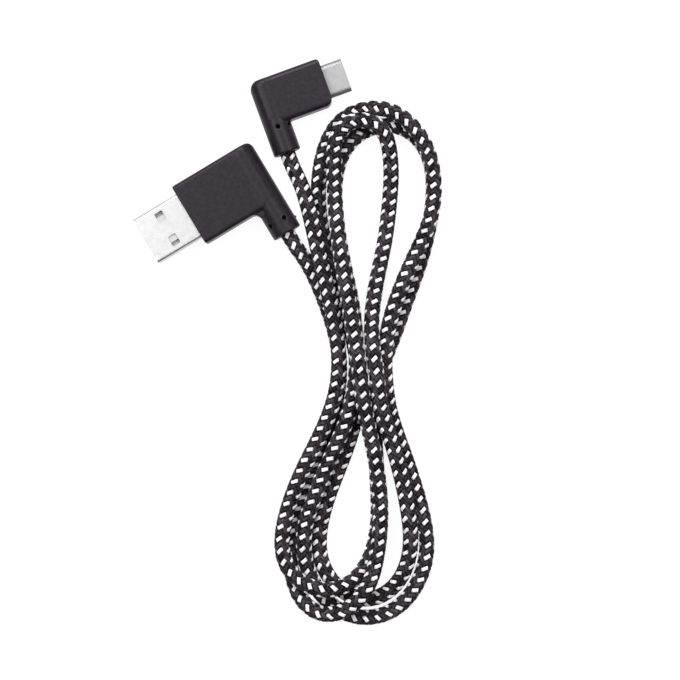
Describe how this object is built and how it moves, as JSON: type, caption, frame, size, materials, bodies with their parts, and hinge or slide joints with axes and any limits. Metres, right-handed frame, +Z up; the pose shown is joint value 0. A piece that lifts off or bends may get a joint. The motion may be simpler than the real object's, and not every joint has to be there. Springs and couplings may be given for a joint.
{
  "type": "charging cable",
  "caption": "Braided charging cable laid in a figure-eight hank, with a right-angle USB-A plug and a right-angle USB-C plug.",
  "frame": {"origin": "middle of the underside of the box round the two plugs, on the table the cable lies on", "axes": "+Z up off the table, +X to the right and -Y down along the hank, seen from above"},
  "size_m": [0.074, 0.1366, 0.012],
  "materials": {
    "housing": "matte",
    "usb_a_shell": "satin",
    "usb_c_shell": "satin",
    "white_plastic": "satin",
    "black_plastic": "satin",
    "inner_mould": "matte",
    "contacts": "polished",
    "spring_steel": "satin",
    "circuit_card": "satin",
    "jacket": "matte",
    "wire_red": "satin",
    "wire_white": "satin",
    "wire_green": "satin",
    "wire_black": "satin",
    "braid": "matte"
  },
  "bodies": {
    "root": {"usb_a_housing": "housing", "usb_a_shell": "usb_a_shell", "usb_a_insulator": "white_plastic", "usb_a_contact_vbus": "contacts", "usb_a_contact_dminus": "contacts", "usb_a_contact_dplus": "contacts", "usb_a_contact_gnd": "contacts", "usb_a_inner_mould": "inner_mould", "usb_a_wire_red": "wire_red", "usb_a_wire_white": "wire_white", "usb_a_wire_green": "wire_green", "usb_a_wire_black": "wire_black", "usb_a_jacket_end": "jacket", "usb_c_housing": "housing", "usb_c_shell": "usb_c_shell", "usb_c_insulator": "black_plastic", "usb_c_contacts_upper": "contacts", "usb_c_contacts_lower": "contacts", "usb_c_latch_spring": "spring_steel", "usb_c_emi_spring_top": "spring_steel", "usb_c_emi_spring_bottom": "spring_steel", "usb_c_paddle_card": "circuit_card", "usb_c_resistor": "black_plastic", "usb_c_inner_mould": "inner_mould", "usb_c_wire_red": "wire_red", "usb_c_wire_white": "wire_white", "usb_c_wire_green": "wire_green", "usb_c_wire_black": "wire_black", "usb_c_jacket_end": "jacket", "braided_cord": "braid"}
  },
  "joints": []
}
